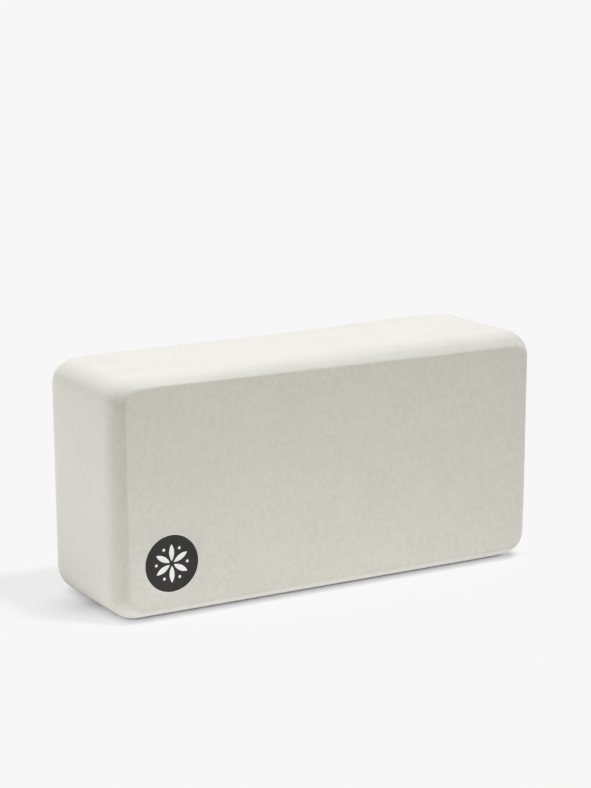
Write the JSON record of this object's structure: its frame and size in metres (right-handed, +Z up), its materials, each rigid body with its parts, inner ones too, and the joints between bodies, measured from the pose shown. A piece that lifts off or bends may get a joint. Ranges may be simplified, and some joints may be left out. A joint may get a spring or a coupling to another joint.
{
  "type": "yoga block",
  "caption": "Solid foam yoga block standing on its long narrow edge, with rounded corners, rounded-over rims on both large faces and a small round inlaid print.",
  "frame": {"origin": "middle of the long narrow face that the block stands on in the picture, at floor level", "axes": "+X along the length, towards the end away from the badge; -Y out of the large face with the badge; +Z up"},
  "size_m": [0.2286, 0.0762, 0.1143],
  "materials": {
    "foam": "matte closed-cell EVA foam, skived and trimmed",
    "adhesive": "milky hot-melt layer",
    "white_film": "satin transfer film",
    "black_film": "satin transfer film"
  },
  "bodies": {
    "root": {"foam_block": "foam", "badge_adhesive": "adhesive", "badge_underprint": "white_film", "badge_face": "black_film"}
  },
  "joints": []
}
